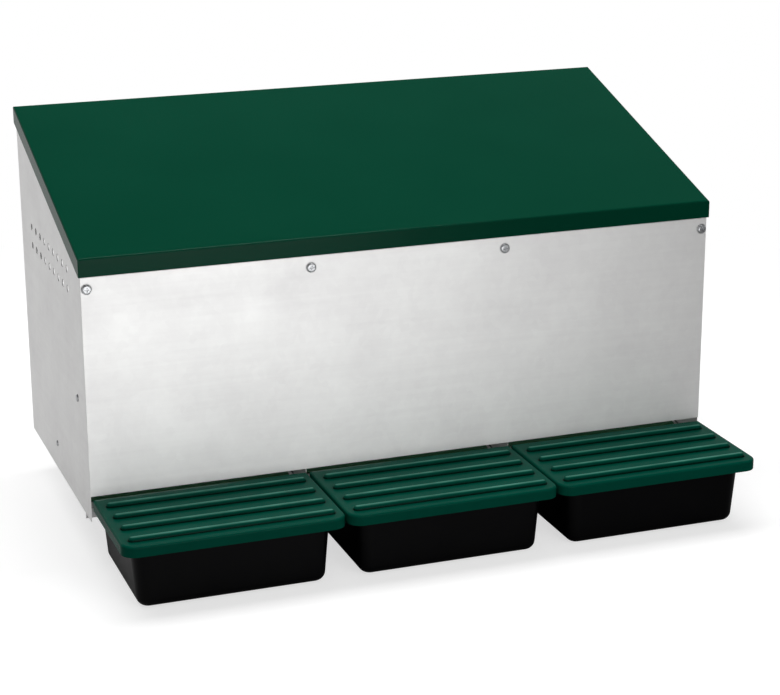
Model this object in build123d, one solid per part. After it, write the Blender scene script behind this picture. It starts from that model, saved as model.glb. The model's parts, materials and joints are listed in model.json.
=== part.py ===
from build123d import *
import math
import os

# A roll-away nesting box: a galvanised sheet box with three nests side by side, a roof that
# lifts at the tall rear edge, and three egg tubs with hinged lids that slide out at the front.
# Millimetres. +X is the keeper's right, +Y runs from the keeper's side to the hens' side, +Z is up.
# Places are worked out with y = 0 on the front panel's face and z = 0 on the ground.

# Sheet metal
sheet = 1.0                 # thickness of every galvanised and painted sheet
fold_radius = 2.5           # outside radius of the visible folds
flange = 20.0               # width of the folds that panels are fastened to
entrance_fold = 24.0        # width of the side panels' rear folds, beside the outer entrances
hem = 8.0                   # width of the folded safe edges
hem_gap = 2.0               # room between a hem and the flange behind it
edge_gap = 0.5              # room between sheets that lie edge to edge

# Box
box_width = 826.0           # over the outer faces of the side panels
box_depth = 370.0           # front panel's face to the rear face
egg_slot = 33.0             # side panel's bottom edge up to the front panel's bottom edge
roof_front_rise = 331.0     # side panel's bottom edge up to the roof's front top edge
roof_rear_rise = 446.0      # the same at the rear
sill_height = 100.0
header_height = 75.0
nests = ("left", "middle", "right")

# Roof
roof_skirt = 22.5           # height of the roof's folded rim
roof_gap = 1.0              # roof rim to the side panels and the front panel
roof_rear_gap = 3.0         # roof rim to the rear face
roof_seat_gap = 0.3         # roof to the folded top edges that it lies on
top_fold = 15.0             # width of those top edges

# Vents in the side panels
vent_diameter = 9.5
vent_columns = 9
vent_pitch = 27.6
vent_front = 75.0           # front column behind the front panel's face
vent_drop = 8.0             # top row below the roof's front rim
vent_row_gap = 25.0

# Nest floors and mats
floor_slope = 9.7           # degrees
floor_setback = 42.0        # floor's front lip behind the front panel's face
floor_lip = 2.0             # height of that lip above the base pan
floor_upstand = 12.0
floor_rivet_back = 195.0    # floor rivets behind the front panel's face
mat_thickness = 14.0
mat_gap = 0.3
mat_margin = 5.5            # mat's edge to the floor's upstand
mat_front = 8.0             # mat's front edge behind the floor's lip
mat_rear = 12.0             # mat's rear edge before the floor's rear leg

# Base
base_lip = 12.0             # downward fold along the base pan's front edge
base_setback = 40.0         # base pan's front edge behind the front panel's face
runner_sheet = 1.5
runner_spacing = 57.0       # between the webs of the two runners under a nest
runner_width = 23.0         # width of a runner's foot and of its top
runner_web_front = 50.0     # web's front end behind the front panel's face
runner_web_rear = 25.0      # web's rear end before the rear face
runner_hole = 7.0
runner_hole_front = 100.0
runner_hole_spacing = 200.0

# Egg tubs
tub_height = 85.4
tub_wall = 2.5
tub_draft = 4.8             # degrees
tub_corner = 14.0           # corner radius at the tub's foot
tub_foot_radius = 12.0
tub_rim = 10.0              # width of the rim's flange
tub_rim_corner = 15.0
tub_reach = 28.0            # tub's foot behind the front panel's face
tub_rear_drop = 31.0        # rear wall's top below the rim
tub_gap = 0.3               # tub above its runners
runner_inset = 16.0         # runner's foot behind the front of the tub's foot

# Tub lids
lid_depth = 163.0
lid_wall = 2.5
lid_skirt = 13.5            # overall height of the lid at its edge
lid_corner = 17.0
lid_rear_corner = 3.0
lid_edge_radius = 3.0
lid_gap = 3.0               # between neighbouring lids
lid_rear_gap = 2.0          # lid's rear edge before the front panel's face
lid_drop = 3.0              # lid's top below the front panel's bottom edge
lid_seat_gap = 0.3
rim_gap = 1.0               # lid's skirt to the tub's rim
rib_count = 4
rib_width = 10.0
rib_pitch = 37.8
rib_front = 20.5            # first rib behind the lid's front edge
rib_inset = 10.0            # rib's end to the lid's side
rib_root = 1.5              # how deep a rib is bedded in the lid
peg_diameter = 5.8
peg_gap = 0.1
peg_boss = 7.0              # diameter of the boss that the peg stands on
boss_gap = 0.8              # boss to the tub's ear
ear_radius = 7.0
ear_gap = 0.5               # top of the ear to the lid
peg_back = 4.0              # peg's axis before the lid's rear edge

# Roof hinges
hinge_length = 70.0
hinge_sheet = 1.5
hinge_leaf = 26.0           # axis to the fixed leaf's far edge
hinge_top_leaf = 18.0       # roof rim's lower edge to the moving leaf's far edge
knuckle_count = 3
knuckle_radius = 4.0
knuckle_gap = 0.3
knuckle_clear = 0.5         # leaf to the other leaf's knuckles
hinge_back = 5.0            # hinge axis behind the rear face
hinge_drop = 5.0            # hinge axis below the roof's rear rim
pin_radius = 2.0
pin_gap = 0.05
pin_head = 3.0              # radius of the pin's heads
pin_head_height = 1.5

# Fasteners
screw_radius = 3.0
screw_head = 6.0            # radius of the pan head
screw_head_height = 3.6
screw_length = 12.0
screw_drop = 15.0           # below the roof's front rim
screw_inset = 7.5           # outer screws to the side panel's outer face
recess_length = 6.0
recess_width = 1.2
recess_depth = 1.8
nut_flats = 10.0
nut_height = 5.0
rivet_radius = 2.0
rivet_head = 3.75
rivet_head_height = 1.5
rivet_tail = 3.0
rivet_tail_height = 1.5
hole_gap = 0.1              # radial room round every screw and rivet
base_rivet_inset = 10.0     # base rivets to the ends and edges that they hold
side_rivet_count = 4
rod_radius = 3.0            # cross rod that ties the side panels through the partitions
rod_back = 47.0             # behind the front panel's face
rod_rise = 145.0            # above the side panel's bottom edge
rod_cap = 4.5               # radius of its end caps
rod_cap_height = 1.8
rod_end = 1.0               # rod's end inside its cap

# Levels, from the ground up
foot_top = runner_sheet
tub_bottom = foot_top + tub_gap
rim_top = tub_bottom + tub_height
lid_under = rim_top + lid_seat_gap
lid_top = lid_under + lid_wall
panel_bottom = lid_top + lid_drop
side_bottom = panel_bottom - egg_slot
base_under = side_bottom + sheet
base_top = base_under + sheet
flange_bottom = panel_bottom + hem + hem_gap

# Places across the box
side_face = box_width / 2
nest_pitch = (box_width - sheet) / len(nests)
nest_centres = [(i - (len(nests) - 1) / 2) * nest_pitch for i in range(len(nests))]
nest_half = (nest_pitch - sheet) / 2
wall_faces = [x + (nest_half + sheet) * (1 if x > 0 else -1) for x in nest_centres if x]
partition_centres = [x + nest_pitch / 2 for x in nest_centres[:-1]]
panel_half = side_face - edge_gap

# Roof planes
roof_half = side_face + roof_gap + sheet
roof_front = -roof_gap - sheet
roof_rear = box_depth + roof_rear_gap + sheet
roof_front_z = side_bottom + roof_front_rise
roof_rear_z = side_bottom + roof_rear_rise
roof_angle = math.atan2(roof_rear_z - roof_front_z, roof_rear - roof_front)
front_rim_z = roof_front_z - roof_skirt
rear_rim_z = roof_rear_z - roof_skirt
tall = roof_rear_z + roof_skirt

# Trays
lid_rear = -lid_rear_gap
lid_front = lid_rear - lid_depth
lid_half = (nest_pitch - lid_gap) / 2
rim_half = lid_half - lid_wall - rim_gap
rim_front = lid_front + lid_wall + rim_gap
tub_inset = tub_height * math.tan(math.radians(tub_draft))
tub_top_half = rim_half - tub_rim
tub_foot_half = tub_top_half - tub_inset
tub_foot_front = rim_front + tub_rim + tub_inset
tub_rear_rim = rim_top - tub_rear_drop
peg_y = lid_rear - peg_back
peg_z = lid_under - ear_gap - ear_radius
runner_front = tub_foot_front + runner_inset
runner_rear = box_depth - runner_web_rear
runner_middle = (runner_spacing + runner_width) / 2

# Hinge axis
hinge_y = box_depth + hinge_back
hinge_z = rear_rim_z - hinge_drop
hinge_centres = [nest_centres[0], nest_centres[-1]]

# The finished part is centred front to back on its own box
rear_end = hinge_y + knuckle_radius
shift = Pos(0, -(lid_front + rear_end) / 2, 0)


def roof_z(y, depth=0.0):
    """Height of the roof's top at y, or of a plane that lies depth below it, square to it."""
    return roof_front_z + (y - roof_front) * math.tan(roof_angle) - depth / math.cos(roof_angle)


def floor_z(y, above=0.0):
    """Height of a nest floor's top at y, or of a plane that lies above it, square to it."""
    slope = math.radians(floor_slope)
    return base_top + floor_lip + (y - floor_setback) * math.tan(slope) + above / math.cos(slope)


def block(x0, x1, y0, y1, z0, z1):
    """Solid box between three pairs of limits."""
    centre = Pos((x0 + x1) / 2, (y0 + y1) / 2, (z0 + z1) / 2)
    return centre * Box(abs(x1 - x0), abs(y1 - y0), abs(z1 - z0))


def prism(points, x0, x1):
    """Solid with a side outline of (y, z) points that runs from x0 to x1."""
    low, high = sorted((x0, x1))
    outline = Polyline(*[(low, y, z) for y, z in points], close=True)
    return extrude(make_face(outline), high - low, dir=(1, 0, 0))


def rod_x(y, z, radius, x0, x1):
    """Round bar along X."""
    return Pos((x0 + x1) / 2, y, z) * Rot(0, 90, 0) * Cylinder(radius, abs(x1 - x0))


def rod_z(x, y, radius, z0, z1):
    """Round bar along Z."""
    return Pos(x, y, (z0 + z1) / 2) * Cylinder(radius, abs(z1 - z0))


def roof_band(y0, y1, depth):
    """Outline of one sheet that lies depth under the roof's top, from y0 to y1."""
    return [
        (y0, roof_z(y0, depth)),
        (y1, roof_z(y1, depth)),
        (y1, roof_z(y1, depth + sheet)),
        (y0, roof_z(y0, depth + sheet)),
    ]


def floor_band(y0, y1, low, high):
    """Outline of a strip along the nest floor, between two heights above its top."""
    return [
        (y0, floor_z(y0, low)),
        (y1, floor_z(y1, low)),
        (y1, floor_z(y1, high)),
        (y0, floor_z(y0, high)),
    ]


def above_seat(drop=0.0):
    """Everything above the plane that the roof lies on, or a plane that lies drop below it."""
    depth = sheet + roof_seat_gap + drop
    y0 = roof_front - flange
    y1 = roof_rear + flange
    points = [(y0, roof_z(y0, depth)), (y1, roof_z(y1, depth)), (y1, tall + flange), (y0, tall + flange)]
    return prism(points, -roof_half - flange, roof_half + flange)


# Fasteners, modelled with the head above z = 0 and the shank below
def rivet(grip):
    """Blind rivet through sheets of a given total thickness."""
    head = Pos(0, 0, rivet_head_height / 2) * Cylinder(rivet_head, rivet_head_height)
    head = fillet(head.edges().sort_by(Axis.Z)[-1], rivet_head_height * 0.9)
    end = -grip - rivet_tail_height
    tail = rod_z(0, 0, rivet_tail, end, -grip)
    tail = fillet(tail.edges().sort_by(Axis.Z)[0], rivet_tail_height * 0.6)
    return head + rod_z(0, 0, rivet_radius, end, rivet_head_height / 2) + tail


def pan_screw():
    """Pan-head screw with a cross recess."""
    head = Pos(0, 0, screw_head_height / 2) * Cylinder(screw_head, screw_head_height)
    head = fillet(head.edges().sort_by(Axis.Z)[-1], screw_head_height * 0.6)
    low = screw_head_height - recess_depth
    for length, width in ((recess_length, recess_width), (recess_width, recess_length)):
        head -= block(-length / 2, length / 2, -width / 2, width / 2, low, screw_head_height)
    shank = rod_z(0, 0, screw_radius, -screw_length, 0)
    shank = chamfer(shank.edges().sort_by(Axis.Z)[0], screw_radius * 0.2)
    return head + shank


def hex_nut():
    """Plain nut whose bearing face lies at z = 0, with the rest below."""
    nut = extrude(RegularPolygon(nut_flats / 2, 6, major_radius=False), -nut_height)
    return nut - rod_z(0, 0, screw_radius + pin_gap, -nut_height, 0)


def facing(direction, points):
    """Frames at points, with the fastener's head towards direction."""
    return [Plane(origin=point, z_dir=direction) for point in points]


def drill(part, frames, radius, reach):
    """Part with a hole through it at each frame, reach deep on both sides."""
    for frame in frames:
        part = part - frame * Cylinder(radius + hole_gap, 2 * reach)
    return part


def group(frames, piece):
    """The same piece at each frame, as separate solids in one node."""
    return Compound(children=[frame * piece for frame in frames])


# Where the fasteners stand
front_screw_z = front_rim_z - screw_drop
partition_screw_x = [x - math.copysign(flange / 2 - sheet / 2, x) for x in partition_centres]
fixing_x = [screw_inset - side_face] + partition_screw_x + [side_face - screw_inset]
header_top = roof_z(box_depth, sheet + roof_seat_gap)
header_bottom = header_top - header_height
header_rivet_z = header_bottom + hem + flange / 2
sill_top = side_bottom + sill_height
sill_rivet_z = sill_top - hem - flange / 2
front_screws = facing((0, -1, 0), [(x, 0, front_screw_z) for x in fixing_x])
front_nuts = facing((0, -1, 0), [(x, 2 * sheet, front_screw_z) for x in fixing_x])
header_rivets = facing((0, 1, 0), [(x, box_depth, header_rivet_z) for x in fixing_x])
sill_rivets = facing((0, 1, 0), [(x, box_depth, sill_rivet_z) for x in fixing_x])
floor_rivet_z = floor_z(floor_rivet_back) + floor_upstand / 2
runner_rivet_y = (runner_web_front + base_rivet_inset, runner_rear - base_rivet_inset)
side_rivet_first = base_setback + flange
side_rivet_step = (box_depth - flange - side_rivet_first) / (side_rivet_count - 1)
side_rivet_y = [side_rivet_first + i * side_rivet_step for i in range(side_rivet_count)]
side_rivet_x = side_face - sheet - base_rivet_inset
runner_rivets = facing((0, 0, 1), [(x + dx, y, base_top) for x in nest_centres
                                   for dx in (-runner_middle, runner_middle) for y in runner_rivet_y])
side_rivets = facing((0, 0, 1), [(x, y, base_top) for x in (-side_rivet_x, side_rivet_x)
                                 for y in side_rivet_y])
leaf_rivet_x = [x + dx for x in hinge_centres for dx in (-hinge_length / 4, hinge_length / 4)]
fixed_rivet_z = hinge_z - (hinge_leaf + knuckle_radius) / 2
moving_rivet_z = rear_rim_z + hinge_top_leaf / 2
fixed_rivets = facing((0, 1, 0), [(x, box_depth + hinge_sheet, fixed_rivet_z) for x in leaf_rivet_x])
moving_rivets = facing((0, 1, 0), [(x, roof_rear + hinge_sheet, moving_rivet_z) for x in leaf_rivet_x])


# Sheet metal box
def folded_wall(x_face, inward, bottom, fold):
    """Upright wall with a fold at its front and rear, from bottom up, and its face at x_face."""
    x_fold = x_face + inward * fold
    x_inner = x_face + inward * sheet
    front = sheet
    rear = box_depth - sheet
    outer = Pos((x_face + x_fold) / 2, (front + rear) / 2) * Rectangle(fold, rear - front)
    corners = [v for v in outer.vertices() if abs(v.X - x_face) < sheet / 2]
    outer = fillet(corners, fold_radius)
    inner = Pos(x_inner + inward * fold / 2, (front + rear) / 2)
    inner = inner * Rectangle(fold, rear - front - 2 * sheet)
    corners = [v for v in inner.vertices() if abs(v.X - x_inner) < sheet / 2]
    inner = fillet(corners, fold_radius - sheet)
    return extrude(Pos(0, 0, bottom) * (outer - inner), tall - bottom)


def side_panel(side):
    """Side wall with folds all round, vent holes, and holes for the rivet and the rod."""
    face = side * side_face
    inner = face - side * sheet
    far = face - side * flange
    wall = folded_wall(face, -side, side_bottom, entrance_fold) - above_seat()
    wall -= block(far, face - side * entrance_fold, 0, fold_radius + sheet, side_bottom, tall)
    wall -= block(inner, far, 0, fold_radius + sheet, side_bottom, flange_bottom)
    top = prism(roof_band(fold_radius, box_depth - fold_radius, sheet + roof_seat_gap), inner,
                inner - side * top_fold)
    bottom = block(inner, far, base_setback + 2 * sheet, box_depth - fold_radius, side_bottom, base_under)
    wall = wall + top + bottom
    for row in range(2):
        z = front_rim_z - vent_drop - row * vent_row_gap
        for column in range(vent_columns):
            y = vent_front + column * vent_pitch
            wall -= rod_x(y, z, vent_diameter / 2, inner - side, face + side)
    wall -= rod_x(floor_rivet_back, floor_rivet_z, rivet_radius + hole_gap, inner - side, face + side)
    wall -= rod_x(rod_back, side_bottom + rod_rise, rod_radius + hole_gap, inner - side, face + side)
    wall = drill(wall, front_screws, screw_radius, flange)
    wall = drill(wall, header_rivets + sill_rivets, rivet_radius, flange)
    return drill(wall, side_rivets, rivet_radius, 2 * rivet_tail)


def partition(centre):
    """Wall between two nests, with its folds towards the middle of the box."""
    side = math.copysign(1, centre)
    face = centre + side * sheet / 2
    inner = face - side * sheet
    wall = folded_wall(face, -side, base_top, flange) - above_seat(sheet + edge_gap)
    wall -= block(face + side, face - side * flange, 0, fold_radius + sheet, base_top, flange_bottom)
    wall -= rod_x(floor_rivet_back, floor_rivet_z, rivet_radius + hole_gap, inner - side, face + side)
    wall -= rod_x(rod_back, side_bottom + rod_rise, rod_radius + hole_gap, inner - side, face + side)
    wall = drill(wall, front_screws, screw_radius, flange)
    return drill(wall, header_rivets + sill_rivets, rivet_radius, flange)


def top_edge(y0, y1):
    """Folded top edge of the front panel or the header, between the side panels' own."""
    half = side_face - max(entrance_fold, sheet + top_fold) - edge_gap
    return prism(roof_band(y0, y1, sheet + roof_seat_gap), -half, half)


def front_panel():
    """Plain front sheet with a hem below and a fold under the roof."""
    skin = block(-panel_half, panel_half, 0, sheet, panel_bottom, tall) - above_seat()
    hem_half = side_face - flange
    fold = block(-hem_half, hem_half, sheet, 2 * sheet, panel_bottom, panel_bottom + hem)
    panel = skin + fold + top_edge(0, top_fold)
    return drill(panel, front_screws, screw_radius, flange)


def rear_header():
    """Strip above the hen entrances."""
    skin = block(-panel_half, panel_half, box_depth - sheet, box_depth, header_bottom, tall) - above_seat()
    hem_half = side_face - entrance_fold
    fold = block(-hem_half, hem_half, box_depth - 2 * sheet, box_depth - sheet, header_bottom,
                 header_bottom + hem)
    for centre in partition_centres:
        fold -= block(centre - flange, centre + flange, 0, box_depth, header_bottom, header_bottom + hem)
    strip = skin + fold + top_edge(box_depth - top_fold, box_depth)
    strip = drill(strip, fixed_rivets, rivet_radius, 2 * rivet_tail)
    return drill(strip, header_rivets, rivet_radius, flange)


def rear_sill():
    """Strip below the hen entrances, with a hem along its top."""
    skin = block(-panel_half, panel_half, box_depth - sheet, box_depth, side_bottom, sill_top)
    hem_half = side_face - entrance_fold
    fold = block(-hem_half, hem_half, box_depth - 2 * sheet, box_depth - sheet, sill_top - hem, sill_top)
    for centre in partition_centres:
        fold -= block(centre - flange, centre + flange, 0, box_depth, sill_top - hem, sill_top)
    return drill(skin + fold, sill_rivets, rivet_radius, flange)


def base_pan():
    """Flat sheet under the nests, folded down along its front edge."""
    half = side_face - sheet - edge_gap
    pan = block(-half, half, base_setback, box_depth - 2 * sheet - edge_gap, base_under, base_top)
    pan += block(-half, half, base_setback, base_setback + sheet, base_top - base_lip, base_top)
    return drill(pan, runner_rivets + side_rivets, rivet_radius, 2 * rivet_tail)


def runner(centre, side):
    """Folded channel under a nest, open to one side, whose foot runs on forward under the tub."""
    web = centre + side * runner_spacing / 2
    edge = web + side * runner_width
    part = block(web, web + side * runner_sheet, runner_web_front, runner_rear, 0, base_under)
    part += block(web, edge, runner_web_front, runner_rear, base_under - runner_sheet, base_under)
    part += block(web, edge, runner_front, runner_rear, 0, foot_top)
    for i in range(2):
        y = runner_hole_front + i * runner_hole_spacing
        part -= rod_z(centre + side * runner_middle, y, runner_hole / 2, -foot_top, 2 * foot_top)
    return drill(part, runner_rivets, rivet_radius, 2 * rivet_tail)


def nest_floor(centre):
    """Sloping floor on a front lip and a rear leg, with a low upstand along both sides."""
    half = nest_half - edge_gap
    y0 = floor_setback
    y1 = box_depth - 2 * sheet - 2 * edge_gap
    plate = prism(floor_band(y0, y1, -sheet, 0), -half, half)
    leg_half = half - flange
    lip = prism([(y0, base_top), (y0, floor_z(y0)), (y0 + sheet, floor_z(y0 + sheet)),
                 (y0 + sheet, base_top)], -half, half)
    leg = prism([(y1 - sheet, base_top), (y1 - sheet, floor_z(y1 - sheet)), (y1, floor_z(y1)),
                 (y1, base_top)], -leg_half, leg_half)
    part = plate + lip + leg
    for side in (-1, 1):
        edge = side * half
        rail = prism(floor_band(y0 + flange, y1 - flange, 0, floor_upstand), edge, edge - side * sheet)
        rail -= rod_x(floor_rivet_back, floor_rivet_z, rivet_radius + hole_gap, edge - 2 * side, edge + side)
        part += rail
    return Pos(centre, 0, 0) * part


def nest_mat(centre):
    """Grass mat that lies on the sloping floor."""
    half = nest_half - edge_gap - sheet - mat_margin
    y0 = floor_setback + mat_front
    y1 = box_depth - 2 * sheet - 2 * edge_gap - mat_rear
    mat = prism(floor_band(y0, y1, mat_gap, mat_gap + mat_thickness), -half, half)
    return Pos(centre, 0, 0) * mat


def floor_rivet_group():
    """One rivet through each upright wall and the floor upstands beside it."""
    side_grip = 2 * sheet + edge_gap
    middle_grip = side_grip + sheet + edge_gap
    pieces = []
    for face in wall_faces:
        side = math.copysign(1, face)
        frame = Plane(origin=(face, floor_rivet_back, floor_rivet_z), z_dir=(side, 0, 0))
        pieces.append(frame * rivet(side_grip))
    for centre in partition_centres:
        side = math.copysign(1, centre)
        face = centre + side * (1.5 * sheet + edge_gap)
        frame = Plane(origin=(face, floor_rivet_back, floor_rivet_z), z_dir=(side, 0, 0))
        pieces.append(frame * rivet(middle_grip))
    return Compound(children=pieces)


def base_rivet_group():
    """Rivets that hold the runners and the side panels' lower folds to the base pan."""
    through_runners = [frame * rivet(sheet + runner_sheet) for frame in runner_rivets]
    through_sides = [frame * rivet(2 * sheet) for frame in side_rivets]
    return Compound(children=through_runners + through_sides)


def cross_rod():
    """Rod across all three nests, through both partitions and both side panels."""
    end = side_face + rod_end
    return rod_x(rod_back, side_bottom + rod_rise, rod_radius, -end, end)


def rod_caps():
    """Push-on domed cap on each end of the cross rod."""
    caps = []
    for side in (-1, 1):
        cap = Pos(0, 0, rod_cap_height / 2) * Cylinder(rod_cap, rod_cap_height)
        cap = fillet(cap.edges().sort_by(Axis.Z)[-1], rod_cap_height * 0.8)
        cap -= rod_z(0, 0, rod_radius, 0, rod_end)
        frame = Plane(origin=(side * side_face, rod_back, side_bottom + rod_rise), z_dir=(side, 0, 0))
        caps.append(frame * cap)
    return Compound(children=caps)


# Roof and its hinges
def roof_shape(inset):
    """Filled shape of the roof, drawn in by inset on every face but the lower one."""
    y0 = roof_front + inset
    y1 = roof_rear - inset
    half = roof_half - inset
    low = roof_skirt + inset
    points = [(y0, roof_z(y0, inset)), (y1, roof_z(y1, inset)), (y1, roof_z(y1) - low), (y0, roof_z(y0) - low)]
    solid = prism(points, -half, half)
    upper = [e for e in solid.edges() if min(v.Z - roof_z(v.Y, inset) for v in e.vertices()) > -sheet / 2]
    return fillet(upper, fold_radius - inset)


def roof_panel():
    """Sheet roof with a rim folded down on all four sides."""
    return drill(roof_shape(0) - roof_shape(sheet), moving_rivets, rivet_radius, 2 * rivet_tail)


def knuckles(first):
    """Every second knuckle of a hinge, from the first, as (start, end) pairs along X."""
    pitch = hinge_length / knuckle_count
    starts = [-hinge_length / 2 + i * pitch for i in range(first, knuckle_count, 2)]
    return [(x + knuckle_gap / 2, x + pitch - knuckle_gap / 2) for x in starts]


def hinge_leaf_part(centre, spans, y0, z_far, up):
    """Flat leaf from y0, one sheet thick, rolled into knuckles at the given spans."""
    root = hinge_z + up * (knuckle_radius + knuckle_clear)
    leaf = block(-hinge_length / 2, hinge_length / 2, y0, y0 + hinge_sheet, root, z_far)
    for x0, x1 in spans:
        leaf += block(x0, x1, y0, y0 + hinge_sheet, hinge_z, root)
        leaf += rod_x(hinge_y, hinge_z, knuckle_radius, x0, x1)
    leaf -= rod_x(hinge_y, hinge_z, pin_radius + pin_gap, -hinge_length, hinge_length)
    return Pos(centre, 0, 0) * leaf


def hinge_fixed_leaf(centre):
    """Leaf on the rear header."""
    leaf = hinge_leaf_part(centre, knuckles(0), box_depth, hinge_z - hinge_leaf, -1)
    return drill(leaf, fixed_rivets, rivet_radius, 2 * rivet_tail)


def hinge_moving_leaf(centre):
    """Leaf on the roof's rear rim."""
    leaf = hinge_leaf_part(centre, knuckles(1), roof_rear, rear_rim_z + hinge_top_leaf, 1)
    return drill(leaf, moving_rivets, rivet_radius, 2 * rivet_tail)


def hinge_pin(centre):
    """Pin with a head at each end."""
    end = hinge_length / 2
    pin = rod_x(hinge_y, hinge_z, pin_radius, -end, end)
    for side in (-1, 1):
        pin += rod_x(hinge_y, hinge_z, pin_head, side * end, side * (end + pin_head_height))
    return Pos(centre, 0, 0) * pin


# Egg tubs and lids
def drafted(half, y0, y1, corner, z0, height, foot_radius):
    """Block with walls that lean outwards, and a rounded foot."""
    plan = Pos(0, (y0 + y1) / 2, z0) * RectangleRounded(2 * half, y1 - y0, corner)
    solid = extrude(plan, height, taper=-tub_draft)
    return fillet(solid.edges().group_by(Axis.Z)[0], foot_radius)


def egg_tub(centre):
    """Open tub with a rim along its front and sides, a low rear wall and an ear for each lid peg."""
    lean = math.tan(math.radians(tub_draft))
    step = tub_wall / math.cos(math.radians(tub_draft)) - tub_wall * lean
    outer = drafted(tub_foot_half, tub_foot_front, tub_reach, tub_corner, tub_bottom, tub_height,
                    tub_foot_radius)
    inner = drafted(tub_foot_half - step, tub_foot_front + step, tub_reach - step, tub_corner - step,
                    tub_bottom + tub_wall, tub_height, tub_foot_radius - tub_wall)
    rim_rear = peg_y
    rim = Pos(0, (rim_front + rim_rear) / 2, rim_top - tub_wall)
    rim = extrude(rim * RectangleRounded(2 * rim_half, rim_rear - rim_front, tub_rim_corner), tub_wall)
    tub = outer + rim - inner
    keep = rod_x(peg_y, peg_z, ear_radius, -tub_top_half, tub_top_half)
    keep += block(-tub_top_half, tub_top_half, peg_y - ear_radius, peg_y + ear_radius, tub_rear_rim, peg_z)
    clear = block(-rim_half, rim_half, peg_y - ear_radius, tub_reach + flange, tub_rear_rim, rim_top + flange)
    tub = tub - (clear - keep)
    return Pos(centre, 0, 0) * (tub - rod_x(peg_y, peg_z, peg_diameter / 2 + peg_gap, -rim_half, rim_half))


def tub_lid(centre):
    """Lid with a skirt on three sides, ribs across its top and a peg at each rear corner."""
    y_mid = (lid_front + lid_rear) / 2
    plan = Pos(0, y_mid) * Rectangle(2 * lid_half, lid_depth)
    rows = plan.vertices().group_by(Axis.Y)
    plan = fillet(rows[0], lid_corner)
    plan = fillet(plan.vertices().group_by(Axis.Y)[-1], lid_rear_corner)
    lid = extrude(Pos(0, 0, lid_top - lid_skirt) * plan, lid_skirt)
    lid = fillet(lid.edges().group_by(Axis.Z)[-1], lid_edge_radius)
    inner_half = lid_half - lid_wall
    inner_front = lid_front + lid_wall
    inner_rear = lid_rear + lid_corner
    inner = Pos(0, (inner_front + inner_rear) / 2) * Rectangle(2 * inner_half, inner_rear - inner_front)
    inner = fillet(inner.vertices().group_by(Axis.Y)[0], lid_corner - lid_wall)
    lid -= extrude(Pos(0, 0, lid_top - lid_skirt) * inner, lid_skirt - lid_wall)
    rib_half = lid_half - rib_inset - rib_width / 2
    radius = rib_width / 2
    root = block(-lid_half, lid_half, lid_front, lid_rear, lid_top - rib_width, lid_top - rib_root)
    for i in range(rib_count):
        y = lid_front + rib_front + i * rib_pitch
        rib = rod_x(y, lid_top, radius, -rib_half, rib_half)
        for end in (-rib_half, rib_half):
            rib += Pos(end, y, lid_top) * Sphere(radius)
        lid += rib - root
    ear_face = tub_top_half - (rim_top - peg_z) * math.tan(math.radians(tub_draft))
    for side in (-1, 1):
        boss_end = side * (tub_top_half + boss_gap)
        peg_end = side * (ear_face - tub_wall - boss_gap)
        lid += rod_x(peg_y, peg_z, peg_boss / 2, side * (inner_half + lid_wall / 2), boss_end)
        lid += rod_x(peg_y, peg_z, peg_diameter / 2, side * inner_half, peg_end)
    return Pos(centre, 0, 0) * lid


def save(name, shape):
    """Write one node in the part's own frame."""
    export_step(shift * shape, f"parts/{name}.step")


os.makedirs("parts", exist_ok=True)

save("side_panel_left", side_panel(-1))
save("side_panel_right", side_panel(1))
save("front_panel", front_panel())
save("rear_header", rear_header())
save("rear_sill", rear_sill())
save("base_pan", base_pan())
for name, centre in zip(("left", "right"), partition_centres):
    save(f"partition_{name}", partition(centre))
for name, centre in zip(nests, nest_centres):
    save(f"runner_{name}_left", runner(centre, -1))
    save(f"runner_{name}_right", runner(centre, 1))
    save(f"nest_floor_{name}", nest_floor(centre))
    save(f"nest_mat_{name}", nest_mat(centre))
    save(f"egg_tub_{name}", egg_tub(centre))
    save(f"tub_lid_{name}", tub_lid(centre))

save("roof_panel", roof_panel())
for name, centre in zip(("left", "right"), hinge_centres):
    save(f"hinge_fixed_leaf_{name}", hinge_fixed_leaf(centre))
    save(f"hinge_moving_leaf_{name}", hinge_moving_leaf(centre))
    save(f"hinge_pin_{name}", hinge_pin(centre))

save("cross_rod", cross_rod())
save("cross_rod_caps", rod_caps())
save("front_panel_screws", group(front_screws, pan_screw()))
save("front_panel_nuts", group(front_nuts, hex_nut()))
save("rear_header_rivets", group(header_rivets, rivet(2 * sheet)))
save("rear_sill_rivets", group(sill_rivets, rivet(2 * sheet)))
save("floor_rivets", floor_rivet_group())
save("base_rivets", base_rivet_group())
save("hinge_header_rivets", group(fixed_rivets, rivet(hinge_sheet + sheet)))
save("hinge_roof_rivets", group(moving_rivets, rivet(hinge_sheet + sheet)))
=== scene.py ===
"""Finishes, nest mats and studio for a roll-away nesting box with three nests side by side."""

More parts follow.
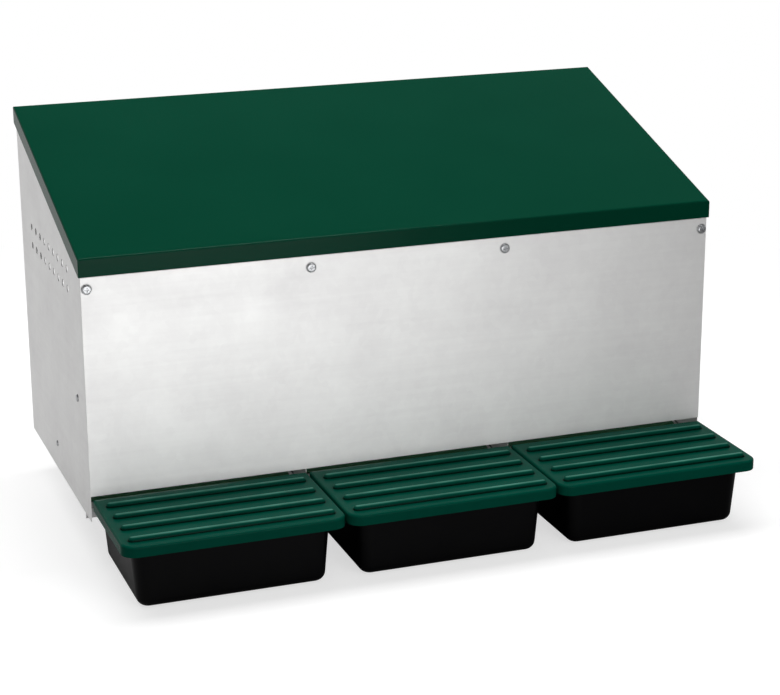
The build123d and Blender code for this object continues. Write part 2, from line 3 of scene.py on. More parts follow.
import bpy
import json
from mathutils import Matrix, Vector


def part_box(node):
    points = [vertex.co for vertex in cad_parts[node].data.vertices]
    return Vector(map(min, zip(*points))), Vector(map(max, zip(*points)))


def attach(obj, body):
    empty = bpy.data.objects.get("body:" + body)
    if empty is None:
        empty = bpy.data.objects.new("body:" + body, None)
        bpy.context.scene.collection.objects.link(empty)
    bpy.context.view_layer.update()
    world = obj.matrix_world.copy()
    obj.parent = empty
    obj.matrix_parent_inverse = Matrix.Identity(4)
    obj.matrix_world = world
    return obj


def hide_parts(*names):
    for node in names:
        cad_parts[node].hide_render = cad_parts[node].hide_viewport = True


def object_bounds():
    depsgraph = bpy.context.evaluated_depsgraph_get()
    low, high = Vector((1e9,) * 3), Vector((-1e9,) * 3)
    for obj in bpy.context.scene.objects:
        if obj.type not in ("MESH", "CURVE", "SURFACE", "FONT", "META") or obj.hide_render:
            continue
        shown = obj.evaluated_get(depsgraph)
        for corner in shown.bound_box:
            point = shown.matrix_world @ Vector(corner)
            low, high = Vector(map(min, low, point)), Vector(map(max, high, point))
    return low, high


bl_info = {
    "name": "Nesting box",
    "version": (1, 0, 0),
    "blender": (4, 5, 0),
    "location": "View3D > Sidebar > Nesting box",
    "description": "Finishes, nest mats and a studio for a roll-away nesting box",
    "category": "Object",
}

import json
import math

import bpy
from bpy.props import FloatProperty, FloatVectorProperty, IntProperty, PointerProperty
from mathutils import Matrix, Vector

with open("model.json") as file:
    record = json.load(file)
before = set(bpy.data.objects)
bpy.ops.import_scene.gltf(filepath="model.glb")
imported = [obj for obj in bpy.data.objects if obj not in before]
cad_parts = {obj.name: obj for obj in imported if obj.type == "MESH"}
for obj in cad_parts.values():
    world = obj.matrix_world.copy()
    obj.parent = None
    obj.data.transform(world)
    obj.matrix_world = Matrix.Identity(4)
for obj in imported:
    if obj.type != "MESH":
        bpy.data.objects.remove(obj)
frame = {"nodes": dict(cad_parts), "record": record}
cad_low, cad_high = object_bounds()

MM = 0.001
NESTS = ("left", "middle", "right")
SLOTS = {item["node"]: item["material_slot"] for item in frame["record"]["subparts"]}

# Moulded finishes: roughness where dull and where bright, then the specular level
TUB_FINISH = (0.42, 0.34, 0.05)
LID_FINISH = (0.26, 0.2, 0.014)

# Lower half's share of a mat blade's lean
BLADE_CURVE = 0.3

# Paper's own grey, and the glow that makes it white to the eye
PAPER_GREY = "#B8B8B8"
PAPER_GLOW = 0.64

# Brightness of the studio to the eye and in reflections
WHITE = 1.0
HORIZON = 0.7
DIM = 0.1


def linear(code):
    """Linear colour of an sRGB hex value."""
    channels = [int(code[i:i + 2], 16) / 255 for i in (1, 3, 5)]
    return tuple(c / 12.92 if c <= 0.04045 else ((c + 0.055) / 1.055) ** 2.4 for c in channels)


def colour(label, text, code):
    """Colour property with an sRGB hex default."""
    return FloatVectorProperty(name=label, description=text, subtype="COLOR", size=3, min=0, max=1,
                               default=linear(code))


def length(label, text, millimetres):
    """Length property with a default in millimetres."""
    return FloatProperty(name=label, description=text, subtype="DISTANCE", unit="LENGTH", min=0,
                         precision=4, default=millimetres * MM)


class FinishColours(bpy.types.PropertyGroup):
    """Colours of the box's finishes."""
    zinc_light: colour("Zinc, light", "Bright crystals of the galvanised sheet", "#E7E7E6")
    zinc_dark: colour("Zinc, dark", "Dull crystals of the galvanised sheet", "#DEDDDD")
    # Painted shade: this colour darkens the seams and screw surrounds where they are occluded
    seam_shade: colour("Seams", "Dirt in the seams of the sheet metal", "#4A4D50")
    roof_green: colour("Roof paint", "Powder coat on the roof", "#00422F")
    roof_green_deep: colour("Roof paint, deep", "Thicker patches of the powder coat", "#003D2B")
    lid_green: colour("Lid plastic", "Moulded tub lids", "#004839")
    lid_green_deep: colour("Lid plastic, deep", "Flow marks in the tub lids", "#004033")
    # Painted highlight: the pale tone along the tops of the lids' ribs
    lid_rib_highlight: colour("Lid plastic, rubbed", "Rubbed tops of the lids' ribs", "#559685")
    tub_black: colour("Tub plastic", "Moulded egg tubs", "#030304")
    tub_black_light: colour("Tub plastic, light", "Flow marks in the egg tubs", "#060607")
    tub_rubbed: colour("Tub plastic, rubbed", "Scuffed foot of the egg tubs", "#1A1A1B")
    # Painted shade: this colour darkens the creases of the tubs and lids where they are occluded
    crease_shade: colour("Grime", "Dirt in the creases of the tubs and lids", "#020A07")
    plate_light: colour("Zinc plate, light", "Plated screws, rivets and hinges", "#BDBEC0")
    plate_dark: colour("Zinc plate, dark", "Dull patches of the plating", "#929496")
    blade_root: colour("Mat, root", "Foot of the mat's blades", "#1E5A34")
    blade_tip: colour("Mat, tip", "Tips of the mat's blades", "#6FB26A")


class NestMatSizes(bpy.types.PropertyGroup):
    """Sizes of the moulded grass mats."""
    thickness: length("Mat thickness", "From the mat's underside to its tips", 14)
    backing: length("Backing", "Thickness of the mat's backing", 3)
    edge_radius: length("Edge radius", "Rounding of the backing's edges", 1.2)
    tuft_pitch: length("Tuft pitch", "Distance between tufts", 11)
    tuft_radius: length("Tuft radius", "Blade's foot to the tuft's middle", 1.6)
    blade_width: length("Blade width", "Radius of a blade's foot", 1.3)
    blade_lean: length("Blade lean", "How far a blade's tip leans out", 4.2)
    unevenness: length("Unevenness", "How far points stray from the mould", 0.5)
    blades: IntProperty(name="Blades", description="Blades in a tuft", min=3, max=9, default=5)


class StudioSettings(bpy.types.PropertyGroup):
    """Camera and lights."""
    camera_place: FloatVectorProperty(name="Camera", description="Where the camera stands", subtype="XYZ",
                                      unit="LENGTH", default=(-0.883, -2.460, 1.025))
    camera_yaw: FloatProperty(name="Yaw", description="Camera's turn to the right", subtype="ANGLE",
                              default=math.radians(20.01))
    camera_pitch: FloatProperty(name="Pitch", description="Camera's tilt down", subtype="ANGLE",
                                default=math.radians(17.41))
    camera_roll: FloatProperty(name="Roll", description="Camera's roll to the left", subtype="ANGLE",
                               default=math.radians(-0.25))
    lens: FloatProperty(name="Lens", description="Focal length on a 36 mm wide sensor",
                        subtype="DISTANCE_CAMERA", default=96.9)
    top_power: FloatProperty(name="Top light", description="Power of the softbox overhead", unit="POWER",
                             default=52.0)
    fill_power: FloatProperty(name="Fill light", description="Power of the softbox in front", unit="POWER",
                              default=10.0)
    key_power: FloatProperty(name="Key light", description="Power of the softbox that the sheet mirrors",
                             unit="POWER", default=7.7)
    rear_power: FloatProperty(name="Rear light", description="Power of the softbox behind", unit="POWER",
                              default=14.0)
    strip_power: FloatProperty(name="Strip light", description="Power of the strip that lines the ribs",
                               unit="POWER", default=45.0)
    room_light: FloatProperty(name="Room light", description="Even light from all round", min=0,
                              default=0.3)


class NestingBoxSettings(bpy.types.PropertyGroup):
    """All settings of the nesting box."""
    finishes: PointerProperty(type=FinishColours)
    mats: PointerProperty(type=NestMatSizes)
    studio: PointerProperty(type=StudioSettings)


def per_metre(millimetres):
    """Texture scale that gives a pattern features of this size."""
    return 1 / (millimetres * MM)


def add_node(owner, kind, inputs=None, **settings):
    """New node with these settings. An input takes a value, or another node's output to link."""
    made = owner.node_tree.nodes.new(kind)
    for name, value in settings.items():
        setattr(made, name, value)
    for name, value in (inputs or {}).items():
        if isinstance(value, bpy.types.NodeSocket):
            owner.node_tree.links.new(value, made.inputs[name])
        else:
            made.inputs[name].default_value = value
    return made


def new_material(name, **values):
    """Material with a Principled shader, whose sockets have these values."""
    material = bpy.data.materials.new(name)
    material.use_nodes = True
    shader = material.node_tree.nodes["Principled BSDF"]
    for socket, value in values.items():
        shader.inputs[socket.replace("_", " ")].default_value = value
    return material


def wire(material, **links):
    """Link outputs to the sockets of the material's shader."""
    shader = material.node_tree.nodes["Principled BSDF"]
    for socket, output in links.items():
        material.node_tree.links.new(output, shader.inputs[socket.replace("_", " ")])


def rgba(value):
    """Colour with full alpha."""
    return (*value, 1.0)


def galvanised_steel(colours):
    """Hot-dip galvanised sheet. Zinc crystals and cloudy bloom dull its shine, and painted shade greys its
    seams.
    """
    material = new_material("Galvanised steel", Metallic=0.9)
    place = add_node(material, "ShaderNodeTexCoord").outputs["Object"]
    crystals = add_node(material, "ShaderNodeTexVoronoi", {"Vector": place, "Scale": per_metre(9)})
    cloud = add_node(material, "ShaderNodeTexNoise",
                     {"Vector": place, "Scale": per_metre(70), "Detail": 5.0, "Roughness": 0.6})
    # Roller marks lie level along each sheet
    rolled = add_node(material, "ShaderNodeMapping",
                      {"Vector": place, "Scale": (per_metre(160), per_metre(160), per_metre(5))})
    streaks = add_node(material, "ShaderNodeTexNoise",
                       {"Vector": rolled.outputs[0], "Scale": 1.0, "Detail": 3.0})
    # Crystals, streaks and bloom add up to a grey that stays near 0.5
    grain = add_node(material, "ShaderNodeMath",
                     {0: crystals.outputs["Color"], 1: 0.1, 2: 0.07}, operation="MULTIPLY_ADD")
    grain = add_node(material, "ShaderNodeMath",
                     {0: streaks.outputs["Fac"], 1: 0.2, 2: grain.outputs[0]}, operation="MULTIPLY_ADD")
    grain = add_node(material, "ShaderNodeMath",
                     {0: cloud.outputs["Fac"], 1: 0.55, 2: grain.outputs[0]}, operation="MULTIPLY_ADD")
    contrast = add_node(material, "ShaderNodeMapRange",
                        {"Value": grain.outputs[0], "From Min": 0.32, "From Max": 0.68})
    tone = add_node(material, "ShaderNodeMix",
                    {0: contrast.outputs[0], 6: rgba(colours.zinc_dark), 7: rgba(colours.zinc_light)},
                    data_type="RGBA")
    # Painted shade: darker along the seams and round the screws, where they are occluded
    seam = add_node(material, "ShaderNodeAmbientOcclusion", {"Distance": 5 * MM}, samples=8)
    unshaded = add_node(material, "ShaderNodeMapRange",
                     {"Value": seam.outputs["AO"], "From Min": 0.4, "From Max": 0.8})
    tone = add_node(material, "ShaderNodeMix",
                    {0: unshaded.outputs[0], 6: rgba(colours.seam_shade), 7: tone.outputs[2]}, data_type="RGBA")
    dullness = add_node(material, "ShaderNodeMapRange",
                        {"Value": grain.outputs[0], "From Min": 0.3, "From Max": 0.7,
                         "To Min": 0.64, "To Max": 0.58})
    # Thin sheet is never quite flat
    waves = add_node(material, "ShaderNodeTexNoise",
                     {"Vector": place, "Scale": per_metre(140), "Detail": 1.0})
    bend = add_node(material, "ShaderNodeBump",
                    {"Height": waves.outputs["Fac"], "Strength": 0.25, "Distance": 4 * MM})
    skin = add_node(material, "ShaderNodeBump",
                    {"Height": grain.outputs[0], "Normal": bend.outputs[0],
                     "Strength": 0.08, "Distance": 0.4 * MM})
    wire(material, Base_Color=tone.outputs[2], Roughness=dullness.outputs[0], Normal=skin.outputs[0])
    return material


def powder_coat(colours):
    """Satin powder coat on sheet steel. Baking leaves a fine orange peel and a faint change of depth."""
    material = new_material("Green powder coat", IOR=1.5, Specular_IOR_Level=0.035)
    place = add_node(material, "ShaderNodeTexCoord").outputs["Object"]
    depth = add_node(material, "ShaderNodeTexNoise",
                     {"Vector": place, "Scale": per_metre(120), "Detail": 4.0})
    tone = add_node(material, "ShaderNodeMix",
                    {0: depth.outputs["Fac"], 6: rgba(colours.roof_green_deep),
                     7: rgba(colours.roof_green)}, data_type="RGBA")
    peel = add_node(material, "ShaderNodeTexNoise",
                    {"Vector": place, "Scale": per_metre(2.2), "Detail": 2.0})
    sheen = add_node(material, "ShaderNodeMapRange",
                     {"Value": depth.outputs["Fac"], "To Min": 0.22, "To Max": 0.28})
    skin = add_node(material, "ShaderNodeBump",
                    {"Height": peel.outputs["Fac"], "Strength": 0.1, "Distance": 0.3 * MM})
    wire(material, Base_Color=tone.outputs[2], Roughness=sheen.outputs[0], Normal=skin.outputs[0])
    return material


def moulded_plastic(name, tones, wear_and_highlight_heights, finish):
    """Moulded polypropylene with grain and flow marks, paler in a band (tub wear, painted rib highlight)
    and with painted shade in creases.
    """
    light, deep, wear_and_highlight, crease_shade = tones
    dull, bright, specular = finish
    material = new_material(name, IOR=1.49, Specular_IOR_Level=specular)
    place = add_node(material, "ShaderNodeTexCoord").outputs["Object"]
    flow = add_node(material, "ShaderNodeTexNoise",
                    {"Vector": place, "Scale": per_metre(45), "Detail": 4.0, "Distortion": 0.6})
    tone = add_node(material, "ShaderNodeMix", {0: flow.outputs["Fac"], 6: rgba(deep), 7: rgba(light)},
                    data_type="RGBA")
    # Paler between two heights, none at the first and most at the second: wear on the tubs, painted
    # highlight on the lids
    axes = add_node(material, "ShaderNodeSeparateXYZ", {0: place})
    wear_and_highlight_mask = add_node(material, "ShaderNodeMapRange",
                       {"Value": axes.outputs["Z"], "From Min": wear_and_highlight_heights[0], "From Max": wear_and_highlight_heights[1]})
    patchy = add_node(material, "ShaderNodeMath", {0: wear_and_highlight_mask.outputs[0], 1: flow.outputs["Fac"]},
                      operation="MULTIPLY")
    tone = add_node(material, "ShaderNodeMix", {0: patchy.outputs[0], 6: tone.outputs[2], 7: rgba(wear_and_highlight)},
                    data_type="RGBA")
    # Painted shade: darker in the creases, where the part's own shape occludes them
    crease = add_node(material, "ShaderNodeAmbientOcclusion", {"Distance": 9 * MM},
                      samples=8, only_local=True)
    unshaded = add_node(material, "ShaderNodeMapRange",
                     {"Value": crease.outputs["AO"], "From Min": 0.58, "From Max": 0.97})
    tone = add_node(material, "ShaderNodeMix", {0: unshaded.outputs[0], 6: rgba(crease_shade), 7: tone.outputs[2]},
                    data_type="RGBA")
    # The grain of the tool is nearer 0.2 mm, drawn coarser so that it shows
    grain = add_node(material, "ShaderNodeTexNoise",
                     {"Vector": place, "Scale": per_metre(0.9), "Detail": 1.0})
    rough = add_node(material, "ShaderNodeMapRange",
                     {"Value": flow.outputs["Fac"], "To Min": bright, "To Max": dull})
    skin = add_node(material, "ShaderNodeBump",
                    {"Height": grain.outputs["Fac"], "Strength": 0.12, "Distance": 0.15 * MM})
    wire(material, Base_Color=tone.outputs[2], Roughness=rough.outputs[0], Normal=skin.outputs[0])
    return material


def zinc_plate(colours):
    """Zinc plate on small steel parts. Barrel plating leaves it bright, with fine rubbed patches."""
    material = new_material("Zinc plate", Metallic=1.0)
    place = add_node(material, "ShaderNodeTexCoord").outputs["Object"]
    rub = add_node(material, "ShaderNodeTexNoise", {"Vector": place, "Scale": per_metre(3), "Detail": 4.0})
    tone = add_node(material, "ShaderNodeMix",
                    {0: rub.outputs["Fac"], 6: rgba(colours.plate_dark), 7: rgba(colours.plate_light)},
                    data_type="RGBA")
    rough = add_node(material, "ShaderNodeMapRange",
                     {"Value": rub.outputs["Fac"], "To Min": 0.3, "To Max": 0.5})
    wire(material, Base_Color=tone.outputs[2], Roughness=rough.outputs[0])
    return material


def grass_plastic(colours, foot, slope, backing, thickness):
    """Soft polyethylene blades, paler towards their thin tips."""
    material = new_material("Green polyethylene", IOR=1.51, Roughness=0.55)
    place = add_node(material, "ShaderNodeTexCoord").outputs["Object"]
    level = add_node(material, "ShaderNodeMapping",
                     {"Vector": place, "Location": foot, "Rotation": (slope, 0, 0)}, vector_type="TEXTURE")
    axes = add_node(material, "ShaderNodeSeparateXYZ", {0: level.outputs[0]})
    height = add_node(material, "ShaderNodeMapRange",
                      {"Value": axes.outputs["Z"], "From Min": backing, "From Max": thickness})
    patch = add_node(material, "ShaderNodeTexNoise",
                     {"Vector": place, "Scale": per_metre(9), "Detail": 2.0})
    share = add_node(material, "ShaderNodeMath", {0: height.outputs[0], 1: patch.outputs["Fac"]},
                     operation="MULTIPLY")
    tone = add_node(material, "ShaderNodeMix",
                    {0: share.outputs[0], 6: rgba(colours.blade_root), 7: rgba(colours.blade_tip)},
                    data_type="RGBA")
    wire(material, Base_Color=tone.outputs[2])
    return material


def dress(material, slot):
    """Give a finish to every CAD node of one material slot."""
    for name, node in frame["nodes"].items():
        if SLOTS[name] == slot:
            for place in node.material_slots:
                place.material = material


def applied(modifier_type, **settings):
    """Add a modifier to the active object and apply it."""
    modifier = bpy.context.object.modifiers.new(modifier_type.title(), modifier_type)
    for name, value in settings.items():
        setattr(modifier, name, value)
    bpy.ops.object.modifier_apply(modifier=modifier.name)


class NESTINGBOX_OT_sheet(bpy.types.Operator):
    """Galvanise the side panels, front panel, rear strips, base, partitions, floors and runners"""
    bl_idname = "nesting_box.dress_sheet"
    bl_label = "Galvanise the sheet metal"

    def execute(self, context):
        dress(galvanised_steel(context.scene.nesting_box.finishes), "galvanised_sheet")
        return {"FINISHED"}


class NESTINGBOX_OT_roof(bpy.types.Operator):
    """Paint the roof"""
    bl_idname = "nesting_box.dress_roof"
    bl_label = "Paint the roof"

    def execute(self, context):
        dress(powder_coat(context.scene.nesting_box.finishes), "green_painted_sheet")
        return {"FINISHED"}


class NESTINGBOX_OT_tubs(bpy.types.Operator):
    """Give the egg tubs their moulded black"""
    bl_idname = "nesting_box.dress_tubs"
    bl_label = "Finish the egg tubs"

    def execute(self, context):
        colours = context.scene.nesting_box.finishes
        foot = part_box("egg_tub_left")[0].z
        tones = (colours.tub_black_light, colours.tub_black, colours.tub_rubbed, colours.crease_shade)
        scuffed = (foot + 6 * MM, foot)
        dress(moulded_plastic("Black polypropylene", tones, scuffed, TUB_FINISH), "black_plastic")
        return {"FINISHED"}


class NESTINGBOX_OT_lids(bpy.types.Operator):
    """Give the tub lids their moulded green"""
    bl_idname = "nesting_box.dress_lids"
    bl_label = "Finish the tub lids"

    def execute(self, context):
        colours = context.scene.nesting_box.finishes
        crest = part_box("tub_lid_left")[1].z
        tones = (colours.lid_green, colours.lid_green_deep, colours.lid_rib_highlight, colours.crease_shade)
        # Painted highlight: the rib tops are painted paler between these heights
        rib_top_highlight = (crest - 0.9 * MM, crest - 0.1 * MM)
        dress(moulded_plastic("Green polypropylene", tones, rib_top_highlight, LID_FINISH), "green_plastic")
        return {"FINISHED"}


class NESTINGBOX_OT_fasteners(bpy.types.Operator):
    """Plate the screws, nuts, rivets, hinges and cross rod"""
    bl_idname = "nesting_box.dress_fasteners"
    bl_label = "Plate the fasteners"

    def execute(self, context):
        dress(zinc_plate(context.scene.nesting_box.finishes), "zinc_plated_steel")
        return {"FINISHED"}


def mat_backing(sizes, width, run):
    """Flat backing with rounded edges, its underside at zero."""
    bpy.ops.mesh.primitive_cube_add(size=1, location=(0, 0, sizes.backing / 2),
                                    scale=(width, run, sizes.backing))
    bpy.ops.object.transform_apply(location=True, rotation=False, scale=True)
    bpy.ops.object.mode_set(mode="EDIT")
    bpy.ops.mesh.select_all(action="SELECT")
    bpy.ops.mesh.bevel(offset=sizes.edge_radius, segments=3)
    bpy.ops.object.mode_set(mode="OBJECT")
    return bpy.context.object


def mat_turf(sizes, width, run):
    """Rows of tufts, each a ring of blades that lean outwards."""
    rise = (sizes.thickness - sizes.backing) / 2
    foot = sizes.backing - sizes.edge_radius / 2
    columns = int((width - sizes.tuft_pitch) / sizes.tuft_pitch)
    rows = int((run - sizes.tuft_pitch) / sizes.tuft_pitch)
    corner = Vector((-(columns - 1) / 2, -(rows - 1) / 2, 0)) * sizes.tuft_pitch
    bpy.ops.mesh.primitive_circle_add(vertices=3, radius=sizes.blade_width, fill_type="NGON",
                                      location=(sizes.tuft_radius, 0, foot))
    bpy.ops.object.transform_apply(location=True, rotation=False, scale=False)
    bpy.ops.object.mode_set(mode="EDIT")
    bpy.ops.mesh.select_all(action="SELECT")
    lower_lean = sizes.blade_lean * BLADE_CURVE
    upper_lean = sizes.blade_lean - lower_lean
    bpy.ops.mesh.extrude_region_move(
        TRANSFORM_OT_translate={"value": (lower_lean, 0, sizes.backing - foot + rise)})
    bpy.ops.mesh.extrude_region_move(TRANSFORM_OT_translate={"value": (upper_lean, 0, rise)})
    bpy.ops.mesh.merge(type="CENTER")
    bpy.ops.mesh.select_all(action="SELECT")
    for _ in range(sizes.blades - 1):
        bpy.ops.mesh.duplicate()
        bpy.ops.transform.rotate(value=math.tau / sizes.blades, orient_axis="Z", center_override=(0, 0, 0))
    bpy.ops.mesh.select_all(action="SELECT")
    bpy.ops.transform.translate(value=corner)
    bpy.ops.object.mode_set(mode="OBJECT")
    for axis, count in enumerate((columns, rows)):
        step = [0, 0, 0]
        step[axis] = sizes.tuft_pitch
        applied("ARRAY", count=count, use_relative_offset=False, use_constant_offset=True,
                constant_offset_displace=step)
    bpy.ops.object.mode_set(mode="EDIT")
    bpy.ops.mesh.select_all(action="SELECT")
    bpy.ops.transform.vertex_random(offset=sizes.unevenness, uniform=0.3, normal=0, seed=5)
    bpy.ops.mesh.normals_make_consistent(inside=False)
    bpy.ops.object.mode_set(mode="OBJECT")
    return bpy.context.object


class NESTINGBOX_OT_mats(bpy.types.Operator):
    """Lay a moulded grass mat on each nest's sloping floor"""
    bl_idname = "nesting_box.add_mats"
    bl_label = "Lay the nest mats"

    def execute(self, context):
        settings = context.scene.nesting_box
        sizes = settings.mats
        low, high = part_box("nest_mat_left")
        width = high.x - low.x
        depth = high.y - low.y
        slope = math.atan2(high.z - low.z - sizes.thickness, depth)
        foot = Vector(((low.x + high.x) / 2, low.y, low.z))
        run = depth / math.cos(slope) - sizes.thickness * math.tan(slope)
        material = grass_plastic(settings.finishes, foot, slope, sizes.backing, sizes.thickness)
        bpy.ops.object.select_all(action="DESELECT")
        backing = mat_backing(sizes, width, run)
        turf = mat_turf(sizes, width, run)
        backing.select_set(True)
        turf.select_set(True)
        context.view_layer.objects.active = backing
        bpy.ops.object.join()
        backing.data.materials.append(material)
        backing.data.transform(Matrix.Translation(foot) @ Matrix.Rotation(slope, 4, "X")
                               @ Matrix.Translation((0, run / 2 + sizes.thickness * math.tan(slope), 0)))
        for nest in NESTS:
            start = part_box(f"nest_mat_{nest}")[0]
            mat = backing.copy()
            mat.data = backing.data.copy()
            mat.data.transform(Matrix.Translation((start.x - low.x, 0, 0)))
            mat.name = f"grass_mat_{nest}"
            context.collection.objects.link(mat)
            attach(mat, "box")
            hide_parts(f"nest_mat_{nest}")
        bpy.data.objects.remove(backing)
        return {"FINISHED"}


def softbox(name, place, tilt, size, power, diffuse=True, glossy=True):
    """Area light, tilted up from straight down. It can be kept from matt faces or from reflections."""
    bpy.ops.object.light_add(type="AREA", location=place)
    lamp = bpy.context.object
    lamp.name = name
    lamp.data.shape = "RECTANGLE"
    lamp.data.size, lamp.data.size_y = size
    lamp.data.energy = power
    lamp.visible_camera = False
    lamp.visible_diffuse = diffuse
    lamp.visible_glossy = glossy
    lamp.rotation_euler = (math.radians(tilt), 0, 0)


def seen_directly(owner):
    """One for rays from the camera and in reflections, nothing for the light that falls on the object."""
    path = add_node(owner, "ShaderNodeLightPath")
    seen = add_node(owner, "ShaderNodeMath",
                    {0: path.outputs["Is Camera Ray"], 1: path.outputs["Is Glossy Ray"]},
                    operation="MAXIMUM")
    seen = add_node(owner, "ShaderNodeMath",
                    {0: seen.outputs[0], 1: path.outputs["Is Transmission Ray"]}, operation="MAXIMUM")
    return seen.outputs[0]


def paper_floor():
    """Matt white paper, which glows faintly to the eye so that it stays white away from the lamps."""
    material = bpy.data.materials.new("White paper")
    material.use_nodes = True
    tree = material.node_tree
    tree.nodes.remove(tree.nodes["Principled BSDF"])
    matt = add_node(material, "ShaderNodeBsdfDiffuse", {"Color": rgba(linear(PAPER_GREY))})
    lift = add_node(material, "ShaderNodeMath", {0: seen_directly(material), 1: PAPER_GLOW},
                    operation="MULTIPLY")
    glow = add_node(material, "ShaderNodeEmission", {"Strength": lift.outputs[0]})
    near = add_node(material, "ShaderNodeAddShader", {0: matt.outputs[0], 1: glow.outputs[0]})
    white = add_node(material, "ShaderNodeEmission", {"Strength": seen_directly(material)})
    place = add_node(material, "ShaderNodeTexCoord").outputs["Object"]
    distance = add_node(material, "ShaderNodeVectorMath", {0: place}, operation="LENGTH")
    axes = add_node(material, "ShaderNodeSeparateXYZ", {0: place})
    # Painted light for reflections: metal mirrors a paper glow that is dim to the right of the box and
    # bright behind it
    right = add_node(material, "ShaderNodeMapRange",
                     {"Value": axes.outputs["X"], "From Min": -0.2, "From Max": 0.7,
                      "To Min": 0.75, "To Max": DIM})
    rear = add_node(material, "ShaderNodeMapRange",
                    {"Value": axes.outputs["Y"], "From Min": -0.6, "From Max": 0.4,
                     "To Min": 0.0, "To Max": 0.9})
    lit = add_node(material, "ShaderNodeMath", {0: right.outputs[0], 1: rear.outputs[0]},
                   operation="MAXIMUM")
    # Painted shadow for reflections: the glow is darker under the box and between the tubs, where it is
    # occluded
    cover = add_node(material, "ShaderNodeAmbientOcclusion", {"Distance": 250 * MM}, samples=4)
    open_paper = add_node(material, "ShaderNodeMapRange",
                          {"Value": cover.outputs["AO"], "From Min": 0.3, "From Max": 0.8})
    lit = add_node(material, "ShaderNodeMath", {0: lit.outputs[0], 1: open_paper.outputs[0]},
                   operation="MULTIPLY")
    mirrored = add_node(material, "ShaderNodeEmission", {"Strength": lit.outputs[0]})
    far = add_node(material, "ShaderNodeMapRange",
                   {"Value": distance.outputs["Value"], "From Min": 0.8, "From Max": 1.5},
                   interpolation_type="SMOOTHSTEP")
    both = add_node(material, "ShaderNodeMixShader",
                    {0: far.outputs[0], 1: near.outputs[0], 2: white.outputs[0]})
    path = add_node(material, "ShaderNodeLightPath")
    surface = add_node(material, "ShaderNodeMixShader",
                       {0: path.outputs["Is Glossy Ray"], 1: both.outputs[0], 2: mirrored.outputs[0]})
    tree.links.new(surface.outputs[0], tree.nodes["Material Output"].inputs["Surface"])
    return material


def studio_world(light):
    """Even room light. Reflections show a pale horizon and a dim ceiling, and the camera sees white."""
    world = bpy.data.worlds.new("Studio")
    world.use_nodes = True
    background = world.node_tree.nodes["Background"]
    direction = add_node(world, "ShaderNodeTexCoord").outputs["Generated"]
    axes = add_node(world, "ShaderNodeSeparateXYZ", {0: direction})
    ceiling = add_node(world, "ShaderNodeMapRange",
                       {"Value": axes.outputs["Z"], "From Min": math.sin(math.radians(20)),
                        "From Max": math.sin(math.radians(45)), "To Min": HORIZON, "To Max": DIM},
                       interpolation_type="SMOOTHSTEP")
    path = add_node(world, "ShaderNodeLightPath")
    strength = add_node(world, "ShaderNodeMix",
                        {0: path.outputs["Is Glossy Ray"], 2: light, 3: ceiling.outputs[0]})
    strength = add_node(world, "ShaderNodeMix",
                        {0: path.outputs["Is Camera Ray"], 2: strength.outputs[0], 3: WHITE})
    world.node_tree.links.new(strength.outputs[0], background.inputs["Strength"])
    background.inputs["Color"].default_value = (1, 1, 1, 1)
    return world


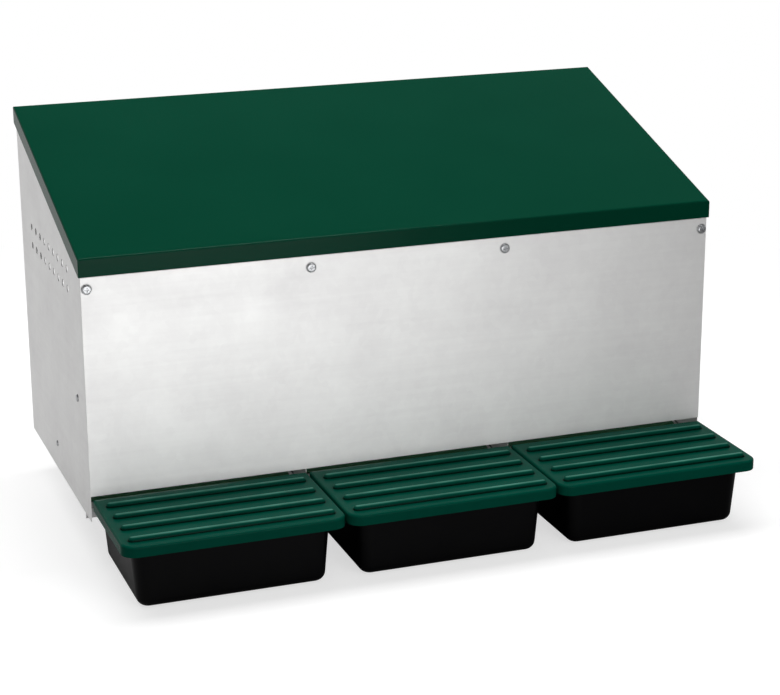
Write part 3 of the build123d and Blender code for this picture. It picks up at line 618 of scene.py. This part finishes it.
class NESTINGBOX_OT_stage(bpy.types.Operator):
    """Set the floor, the lights and the camera"""
    bl_idname = "nesting_box.add_stage"
    bl_label = "Set the stage"

    def execute(self, context):
        studio = context.scene.nesting_box.studio
        bpy.ops.object.select_all(action="DESELECT")
        bpy.ops.mesh.primitive_plane_add(size=60, location=(0, 0, cad_low.z))
        floor = context.object
        floor.name = "paper_floor"
        floor.data.materials.append(paper_floor())
        context.scene.world = studio_world(studio.room_light)
        softbox("top_softbox", place=(-0.2, 0.3, 2.7), tilt=0, size=(3.0, 1.2),
                power=studio.top_power, glossy=False)
        softbox("fill_softbox", place=(0.5, -2.2, 1.1), tilt=65, size=(1.2, 0.8),
                power=studio.fill_power, glossy=False)
        softbox("key_softbox", place=(-0.04, -1.4, 0.2), tilt=88, size=(0.9, 0.38),
                power=studio.key_power, diffuse=False)
        softbox("rear_softbox", place=(0.0, 2.3, 0.9), tilt=-75, size=(1.6, 0.8),
                power=studio.rear_power)
        softbox("strip_light", place=(0.1, 0.0, 2.3), tilt=0, size=(1.2, 0.3),
                power=studio.strip_power, diffuse=False)
        bpy.ops.object.camera_add(location=studio.camera_place)
        camera = context.object
        camera.data.lens = studio.lens
        turn = Matrix.Rotation(-studio.camera_yaw, 3, "Z")
        tilt = Matrix.Rotation(math.pi / 2 - studio.camera_pitch, 3, "X")
        roll = Matrix.Rotation(studio.camera_roll, 3, "Z")
        camera.rotation_euler = (turn @ tilt @ roll).to_euler()
        context.scene.camera = camera
        context.scene.view_settings.view_transform = "Standard"
        return {"FINISHED"}


class NESTINGBOX_PT_sidebar(bpy.types.Panel):
    """Steps that dress the nesting box"""
    bl_idname = "NESTINGBOX_PT_sidebar"
    bl_label = "Nesting box"
    bl_space_type = "VIEW_3D"
    bl_region_type = "UI"
    bl_category = "Nesting box"

    def draw(self, context):
        settings = context.scene.nesting_box
        for step in STEPS:
            self.layout.operator(step.bl_idname)
        for group in (settings.finishes, settings.mats, settings.studio):
            box = self.layout.box()
            for name in group.__annotations__:
                box.prop(group, name)


STEPS = (NESTINGBOX_OT_sheet, NESTINGBOX_OT_roof, NESTINGBOX_OT_tubs, NESTINGBOX_OT_lids,
         NESTINGBOX_OT_fasteners, NESTINGBOX_OT_mats, NESTINGBOX_OT_stage)
CLASSES = (FinishColours, NestMatSizes, StudioSettings, NestingBoxSettings, *STEPS, NESTINGBOX_PT_sidebar)


def register():
    for item in CLASSES:
        bpy.utils.register_class(item)
    bpy.types.Scene.nesting_box = PointerProperty(type=NestingBoxSettings)


def unregister():
    del bpy.types.Scene.nesting_box
    for item in reversed(CLASSES):
        bpy.utils.unregister_class(item)


def main():
    register()
    bpy.ops.nesting_box.dress_sheet()
    bpy.ops.nesting_box.dress_roof()
    bpy.ops.nesting_box.dress_tubs()
    bpy.ops.nesting_box.dress_lids()
    bpy.ops.nesting_box.dress_fasteners()
    bpy.ops.nesting_box.add_mats()
    bpy.ops.nesting_box.add_stage()


if __name__ == "__main__":
    main()
